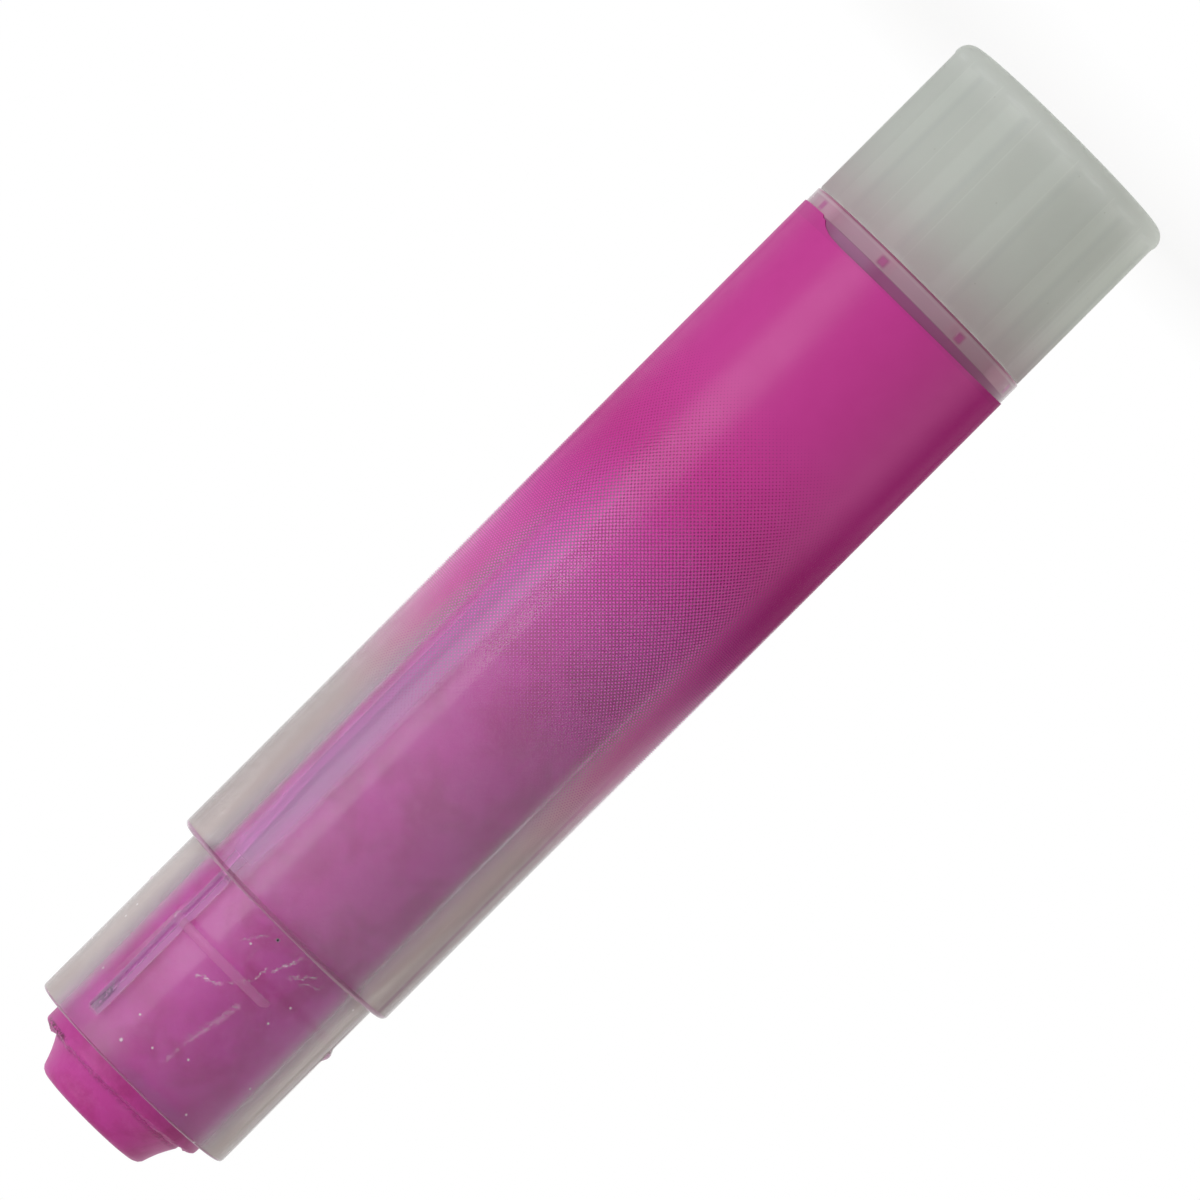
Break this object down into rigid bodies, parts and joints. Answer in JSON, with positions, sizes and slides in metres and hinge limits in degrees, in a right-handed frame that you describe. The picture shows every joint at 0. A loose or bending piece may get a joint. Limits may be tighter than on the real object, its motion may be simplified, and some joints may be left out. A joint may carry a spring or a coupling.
{
  "type": "gel crayon",
  "caption": "Twist-up gel crayon: a waxy colour stick in a translucent barrel with a printed film label, raised by turning a fluted base.",
  "frame": {"origin": "middle of the twist base's flat end face, which the crayon stands on", "axes": "+Z along the crayon, from the twist base to the stick's tip; -Y is the front, which the picture shows"},
  "size_m": [0.0192, 0.0192, 0.0939],
  "materials": {
    "clear_plastic": "translucent, satin gloss",
    "printed_film": "satin film, magenta print fading out towards the tip",
    "frosted_plastic": "frosted, translucent",
    "inner_plastic": "natural, matte",
    "magenta_wax": "waxy, soft sheen"
  },
  "bodies": {
    "barrel_body": {"barrel": "clear_plastic", "label_film": "printed_film"},
    "twist_body": {"twist_base": "frosted_plastic", "drive_screw": "inner_plastic"},
    "stick_body": {"stick_carrier": "inner_plastic", "gel_stick": "magenta_wax"}
  },
  "joints": [
    {"name": "base_twist", "type": "hinge", "parent": "barrel_body", "child": "twist_body", "pos_m": [0, 0, 0.0142], "axis": [0, 0, 1], "range_deg": [-368, 3835]},
    {"name": "stick_slide", "type": "slide", "parent": "barrel_body", "child": "stick_body", "axis": [0, 0, 1], "range_m": [-0.0051, 0.05325]}
  ],
  "couplings": [
    {"joint": "base_twist", "follows": "stick_slide", "rad_per_m": 1256.6}
  ]
}
